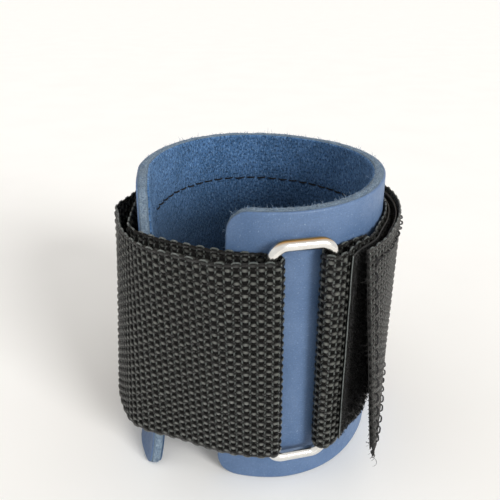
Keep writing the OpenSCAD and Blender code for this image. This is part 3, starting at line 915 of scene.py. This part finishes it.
def loop_tape(strip, marks):
    """The loop tape lies on the outer face of the strap's inner layer, with its pile outward."""
    u_end = inner_distance(marks, TAPE_END_ANGLE)
    u_start = inner_distance(marks, TAPE_START_ANGLE)
    near = u_end - 26
    low, high = TAPE_LOW + TAPE_MARGIN, TAPE_HIGH - TAPE_MARGIN
    base = tape_slab(strip, u_start, u_end, TAPE_LOW, TAPE_HIGH, FACE, TAPE_BASE)
    dense = pile_loops(strip, near, u_end - 0.2, low, high, 3.3, FACE + 0.25, 31)
    sparse = pile_loops(strip, u_start + 0.2, near, low, high, 1.3, FACE + 0.25, 32, 0.5)
    level = np.linspace(TAPE_LOW, TAPE_HIGH, 90)
    drift = 0.10 * value_noise(np.stack([level, 0 * level], -1), 3.0, 33)
    seam, _ = strip.at(u_end + 0.12 + drift, level, FACE + TAPE_BASE + 0.05)
    pieces = [
        # The cut edge's lighter grey is a painted highlight.
        tubes_piece("loop_tape_cut_edge", thin_tubes(seam[None], 0.13, 6), LIT_TAPE_EDGE),
        make_piece("loop_tape_base", *base, PILE),
        tubes_piece("loop_tape_pile_front", dense, PILE, closed=False),
        tubes_piece("loop_tape_pile_rear", sparse, PILE, closed=False),
    ]
    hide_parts("loop_tape")
    for one in pieces:
        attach(one, "cuff")
    covered = inner_distance(marks, HOOK_START_ANGLE - 2)
    rows = tape_rows((u_end - 1.4, u_start + 1.4), u_start + 3.5, covered)
    row = thread_row("loop_tape_thread", strip, rows, FACE + TAPE_BASE + 0.1, 0.2)
    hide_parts("loop_tape_stitches")
    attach(row, "cuff")


def hooks(strip, u0, u1, low, high, height):
    """Rows of small plastic hooks that stand on the hook tape."""
    rng = np.random.default_rng(41)
    pitch_u, pitch_z = 1.3, 1.15
    u, z = np.meshgrid(np.arange(u0, u1, pitch_u), np.arange(low, high, pitch_z), indexing="ij")
    facing = np.where((np.arange(u.shape[0]) % 2)[:, None] == 0, 1.0, -1.0) * np.ones_like(u)
    u, z, facing = u.ravel()[:, None], z.ravel()[:, None], facing.ravel()[:, None]
    u = u + rng.normal(0, 0.08, u.shape)
    bend = np.radians(np.array([0, 0, 0, 40, 90, 140, 185]))
    rise = np.array([0, 0.14, 0.27, 0.36, 0.42, 0.38, 0.30])
    reach = 0.16 * (1 - np.cos(bend))
    paths, _ = strip.at(u + facing * reach, z + rng.normal(0, 0.04, z.shape), height + rise)
    return thin_tubes(paths, 0.07, 4, [1.5, 1.1, 1, 1, 1, 0.9, 0.6])


def hook_tape(strip, marks):
    """The hook tape lies on the inner face of the flap."""
    start, stop = 0.9, marks["hook_start"]
    low, high = TAPE_LOW + 0.7, TAPE_HIGH - 0.7
    slab = tape_slab(strip, start, stop, TAPE_LOW, TAPE_HIGH, FACE, TAPE_BASE)
    base = make_piece("hook_tape_base", *slab, HOOKS)
    standing = hooks(strip, start + 0.8, stop - 0.6, low, high, FACE + TAPE_BASE - 0.02)
    field = tubes_piece("hook_tape_hooks", standing, HOOKS)
    rows = tape_rows((start + 1.6, stop - 1.6), start + 4, stop - 4)
    sewn = thread_row("hook_tape_thread", strip, rows, -(WEBBING_THICK / 2 + 0.05), 0.2)
    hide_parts("hook_tape_side", "hook_tape_tip")
    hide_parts("hook_stitches_side", "hook_stitches_tip")
    for piece in (base, field, sewn):
        bend_at_tip(piece, strip, marks)


def bend_at_tip(piece, strip, marks):
    strap_point(strip, marks["tip"] + HINGE_REACH)
    strap_point(strip, marks["tip"] - HINGE_REACH)
    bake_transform(piece)


# ---- Stitches


def stitch_angles(a0, a1):
    count = math.floor(abs(a1 - a0) / DEGREES * CUFF_RADIUS / STITCH_PITCH)
    return np.linspace(a0, a1, count + 1)


def level_row(u0, u1, z):
    """The middles of a row of stitches along a strip, and the direction in which they lie."""
    count = int((u1 - u0) / STITCH_PITCH)
    u = np.linspace(u0, u1, count + 1)
    return u, np.full_like(u, z), (1, 0)


def upright_row(u, low, high):
    count = int((high - low) / STITCH_PITCH)
    z = np.linspace(low, high, count + 1)
    return np.full_like(z, u), z, (0, 1)


def tape_rows(ends, u0, u1):
    """The rows round a tape: an upright one at each of the ends, and level ones near both edges."""
    levels = (TAPE_LOW + SEAM_INSET, TAPE_HIGH - SEAM_INSET)
    return [upright_row(u, *levels) for u in ends] + [level_row(u0, u1, z) for z in levels]


def thread_row(name, strip, rows, height, radius, length=STITCH_LENGTH - 0.4, seed=51, bow=0.5):
    """Thread stitches that stand on a strip's face at height and dip into it at both ends."""
    rng = np.random.default_rng(seed)
    u = np.concatenate([row[0] for row in rows])[:, None]
    z = np.concatenate([row[1] for row in rows])[:, None]
    lie = np.concatenate([np.tile(row[2], (len(row[0]), 1)) for row in rows])
    t = np.linspace(-1, 1, 11)[None, :]
    slant = t * rng.normal(0, 0.08, u.shape) + rng.normal(0, 0.07, u.shape)
    du = t * lie[:, :1] * length / 2 + slant * lie[:, 1:]
    dz = t * lie[:, 1:] * length / 2 + slant * lie[:, :1]
    outward = 1 if height > 0 else -1
    lift = height + outward * (radius * 0.8 - bow * np.abs(t) ** 4)
    paths, _ = strip.at(u + du, z + dz, np.broadcast_to(lift, du.shape))
    points = thin_tubes(paths, radius, 8, 1 - 0.25 * np.abs(t[0]) ** 3)
    piece = tubes_piece(name, points, SEWING, uv=tube_map(points, u + z + t * length))
    return piece


def cuff_stitches(strip):
    """The two rows that hold strap and leather together, as they show on the suede."""
    middles = leather_distance(strip, stitch_angles(STITCH_START_ANGLE, STITCH_END_ANGLE))
    levels = {"cuff_stitches_top": STRAP_HIGH - ROW_INSET, "cuff_stitches_bottom": STRAP_LOW + ROW_INSET}
    for seed, (node, level) in enumerate(levels.items()):
        rows = [(middles, np.full_like(middles, level), (1, 0))]
        row = thread_row("thread_" + node, strip, rows, LEATHER_THICK, THREAD / 2, STITCH_LENGTH, seed, 0.75)
        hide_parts(node)
        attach(row, "cuff")


# ---- Loose fibres and threads


def edge_fibres(edge_out, edge_in, outward):
    """Fine hairs that stand on the leather's cut edges, with a few long ones."""
    rng = np.random.default_rng(61)
    count = 5200
    spot = rng.integers(0, len(edge_out), count)
    across = rng.random((count, 1))
    root = edge_out[spot] + (edge_in[spot] - edge_out[spot]) * across
    inward = unit(edge_in[spot] - edge_out[spot])
    ahead = unit(np.cross(inward, outward[spot]))
    length = 0.25 + rng.exponential(0.24, (count, 1))
    aim = outward[spot] + rng.normal(0, 0.7, (count, 1)) * ahead + rng.normal(0, 0.6, (count, 1)) * inward
    aim = unit(aim)
    sway = unit(rng.normal(0, 1, (count, 3)))
    t = np.linspace(0, 1, 5)[None, :, None]
    length = length[:, :, None]
    paths = root[:, None, :] + aim[:, None, :] * length * t + sway[:, None, :] * length * 0.45 * t ** 2
    paths = paths - 0.08 * outward[spot][:, None, :]
    # The hairs don't go below the floor.
    paths[..., 2] = np.maximum(paths[..., 2], 0.06)
    points = thin_tubes(paths, 0.05, 3, [1, 0.9, 0.8, 0.6, 0.3])
    return tubes_piece("leather_edge_fibres", points, FIBRE, closed=False)


def suede_nap(strip, u_range):
    """Short fibres that lie on the suede, brushed one way with some disorder."""
    rng = np.random.default_rng(62)
    count = 11000
    u = rng.uniform(u_range[0] + 1, u_range[1] - 1, (count, 1))
    z = rng.uniform(1, CUFF_HEIGHT - 1, (count, 1))
    drift = 35 * value_noise(np.concatenate([u, z], 1), 6, 63)[:, None]
    angle = np.radians(60 + drift + rng.normal(0, 28, (count, 1)))
    length = rng.uniform(0.4, 1.1, (count, 1))
    t = np.linspace(0, 1, 4)[None, :]
    rise = rng.uniform(0.08, 0.28, (count, 1)) * np.sin(np.pi * (0.15 + 0.7 * t))
    u = u + np.cos(angle) * length * t
    z = z + np.sin(angle) * length * t
    paths, _ = strip.at(u, z, LEATHER_THICK + rise + wing_flare(strip, u, z))
    points = thin_tubes(paths, 0.045, 3, [1, 0.9, 0.7, 0.35])
    return tubes_piece("suede_nap", points, NAP_FIBRE, closed=False)


def flap_fray(strip):
    """Filaments that come out of the cut ends of the flap's warp yarns."""
    rng = np.random.default_rng(64)
    count = 420
    z = STRAP_LOW + rng.random((count, 1)) * STRAP_WIDTH
    height = rng.uniform(-0.45, 0.45, (count, 1))
    length = 0.3 + rng.exponential(0.5, (count, 1))
    t = np.linspace(0, 1, 7)[None, :]
    turn = rng.uniform(0, 2 * np.pi, (count, 1))
    start, normal = strip.at(np.full_like(z, 0.4), z, height)
    ahead = start - strip.at(np.full_like(z, 1.4), z, height)[0]
    up = np.array([0, 0, 1.0])
    swing = 0.35 * length * t ** 1.5
    paths = (start + ahead * (length * t)[..., None]
             + normal * (swing * np.cos(turn + 3 * t))[..., None]
             + up * (swing * np.sin(turn + 3 * t) - 0.1 * length * t)[..., None])
    points = thin_tubes(paths, 0.045, 3, np.linspace(1, 0.6, 7))
    piece = tubes_piece("flap_fray", points, PILE, closed=False)
    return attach(piece, "flap_end")


def loose_threads(strip):
    """A few long curly threads at the lower corner of the flap's end."""
    rng = np.random.default_rng(65)
    count = 7
    z = STRAP_LOW + rng.uniform(0.2, 9, (count, 1))
    start, normal = strip.at(np.full_like(z, 0.3), z, rng.uniform(-0.3, 0.3, (count, 1)))
    ahead = start - strip.at(np.full_like(z, 1.3), z, 0.0)[0]
    t = np.linspace(0, 1, 26)[None, :]
    length = rng.uniform(2.0, 4.5, (count, 1))
    curl = rng.uniform(0.35, 0.8, (count, 1)) * t
    turn = rng.uniform(0, 2 * np.pi, (count, 1)) + t * rng.uniform(7, 12, (count, 1))
    paths = (start + unit(ahead) * (length * 0.5 * t)[..., None]
             + normal * (curl * np.cos(turn))[..., None]
             + np.array([0, 0, 1.0]) * (curl * np.sin(turn) - 0.6 * length * t ** 1.5)[..., None])
    points = thin_tubes(paths, 0.07, 4, np.linspace(1, 0.7, 26))
    piece = tubes_piece("flap_loose_threads", points, PILE)
    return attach(piece, "flap_end")


# ---- Stage


def stage():
    bpy.ops.mesh.primitive_plane_add(size=24, location=(0, 6, -0.0002))
    floor = bpy.context.object
    floor.name = "floor"
    p = Paint("floor_paper", Roughness=0.9, Specular_IOR_Level=0.1)
    p.coordinates("object")
    p.set("Base Color", p.ramp(p.noise(0.02, 2), (0.3, (0.93, 0.93, 0.92)), (0.7, (0.95, 0.95, 0.94))))
    floor.data.materials.append(p.material)


def sun(name, azimuth, elevation, angle, strength, colour):
    """A soft distant light. Azimuth 0 comes from the camera's side and 90 from the right."""
    data = bpy.data.lights.new(name, "SUN")
    data.angle = math.radians(angle)
    data.energy = strength
    data.color = colour
    light = bpy.data.objects.new(name, data)
    light.rotation_euler = (math.radians(90 - elevation), 0, math.radians(azimuth))
    bpy.context.scene.collection.objects.link(light)


def lights():
    world = bpy.data.worlds.new("studio")
    world.use_nodes = True
    tree = world.node_tree
    background = tree.nodes["Background"]
    aim = tree.nodes.new("ShaderNodeTexCoord")
    toward = tree.nodes.new("ShaderNodeVectorMath")
    toward.operation = "DOT_PRODUCT"
    toward.inputs[1].default_value = (0, 0.75, 0.66)
    ramp = tree.nodes.new("ShaderNodeValToRGB")
    tree.links.new(aim.outputs["Generated"], toward.inputs[0])
    tree.links.new(toward.outputs["Value"], ramp.inputs["Fac"])
    tree.links.new(ramp.outputs["Color"], background.inputs["Color"])
    # A warm panel high behind the object, for the ring to reflect.
    ramp.color_ramp.elements[0].position = 0.88
    ramp.color_ramp.elements[0].color = (1.0, 0.995, 0.985, 1)
    ramp.color_ramp.elements[1].position = 0.93
    ramp.color_ramp.elements[1].color = (0.50, 0.31, 0.12, 1)
    background.inputs["Strength"].default_value = 0.82
    bpy.context.scene.world = world
    sun("key", 42, 22, 24, 2.7, (1.0, 0.985, 0.96))


SENSOR = 36
FOCAL = 1.144  # focal length for each millimetre of the sensor's width
CAMERA_PLACE = (-0.00059, -0.13745, 0.11055)
CAMERA_TILT = 25.1  # degrees below level


def camera():
    """The camera that was fitted to the photograph's outlines."""
    data = bpy.data.cameras.new("camera")
    data.sensor_width = SENSOR
    data.lens = FOCAL * SENSOR
    data.shift_x = -0.0152
    data.shift_y = 0.003
    data.clip_start = 0.01
    view = bpy.data.objects.new("camera", data)
    view.location = CAMERA_PLACE
    view.rotation_euler = (math.radians(90 - CAMERA_TILT), 0, 0)
    bpy.context.scene.collection.objects.link(view)
    bpy.context.scene.camera = view


# ---- Build

bpy.context.scene.view_settings.view_transform = "Standard"
camera()
stage()
lights()
leather_band = leather_piece()
strap, strap_marks = webbing()
loop_tape(strap, strap_marks)
hook_tape(strap, strap_marks)
cuff_stitches(leather_band)
flap_fray(strap)
loose_threads(strap)
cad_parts["rectangular_ring"].data.materials.clear()
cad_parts["rectangular_ring"].data.materials.append(NICKEL)
